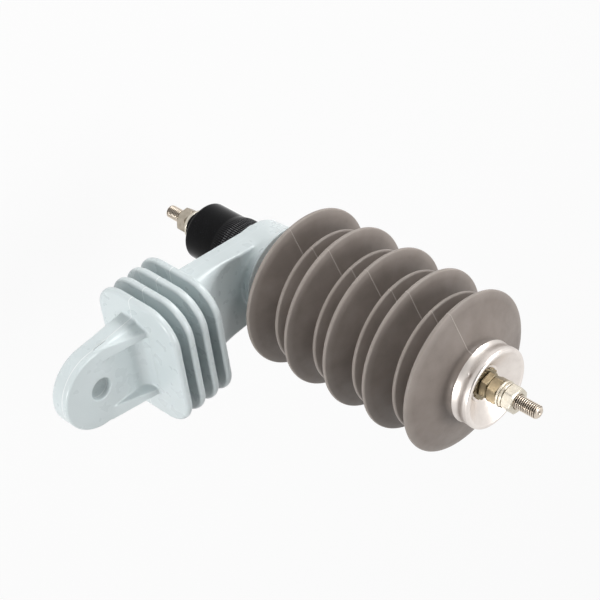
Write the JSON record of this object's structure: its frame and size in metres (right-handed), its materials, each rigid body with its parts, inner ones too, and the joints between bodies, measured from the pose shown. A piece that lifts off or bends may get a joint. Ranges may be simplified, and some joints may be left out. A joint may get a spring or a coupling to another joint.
{
  "type": "surge arrester",
  "caption": "Distribution surge arrester: a silicone housing with alternating sheds on a finned insulating bracket with a bolt lug, stud terminals at both ends and an earth-lead disconnector.",
  "frame": {"origin": "centre of the bracket's bolt hole, on the lug's lower face", "axes": "+Z runs parallel to the arrester's axis, from the earth terminal towards the line terminal; +X runs from the bolt hole along the arm towards the arrester; +Y completes the right-handed frame"},
  "size_m": [0.2043, 0.096, 0.2853],
  "materials": {
    "silicone_rubber": "satin grey-brown moulded silicone rubber",
    "seal_rubber": "soft black rubber",
    "glass_fibre": "wound glass-fibre laminate",
    "varistor_ceramic": "ground zinc-oxide ceramic with glazed sides",
    "aluminium": "turned aluminium",
    "spring_steel": "plain spring steel",
    "cap_steel": "spun bright stainless steel",
    "stud_steel": "threaded stainless steel, dull",
    "dull_nut_steel": "stainless steel, slightly browned",
    "bright_nut_steel": "bright plated steel",
    "bracket_moulding": "pale grey glass-filled moulding, satin",
    "black_moulding": "glossy black moulding",
    "ring_ceramic": "plain fired ceramic",
    "brass": "turned brass"
  },
  "bodies": {
    "root": {"insulating_bracket": "bracket_moulding", "silicone_housing": "silicone_rubber", "fibreglass_tube": "glass_fibre", "varistor_disc_1": "varistor_ceramic", "varistor_disc_2": "varistor_ceramic", "varistor_disc_3": "varistor_ceramic", "varistor_disc_4": "varistor_ceramic", "varistor_disc_5": "varistor_ceramic", "contact_plate": "brass", "disc_spring": "spring_steel", "earth_electrode": "aluminium", "line_electrode": "aluminium", "earth_seal_ring": "seal_rubber", "line_seal_ring": "seal_rubber", "line_end_cap": "cap_steel", "earth_end_cap": "cap_steel", "line_stud": "stud_steel", "line_toothed_washer": "dull_nut_steel", "line_clamp_nut": "dull_nut_steel", "line_lock_nut": "dull_nut_steel", "line_flat_washer": "bright_nut_steel", "line_spring_washer": "bright_nut_steel", "line_terminal_nut": "bright_nut_steel", "joining_stud": "stud_steel", "disconnector_case": "black_moulding", "disconnector_plate": "brass", "grading_ring": "ring_ceramic", "disconnector_cartridge": "brass", "earth_stud": "stud_steel", "earth_flat_washer": "bright_nut_steel", "earth_spring_washer": "bright_nut_steel", "earth_nut": "bright_nut_steel"}
  },
  "joints": []
}
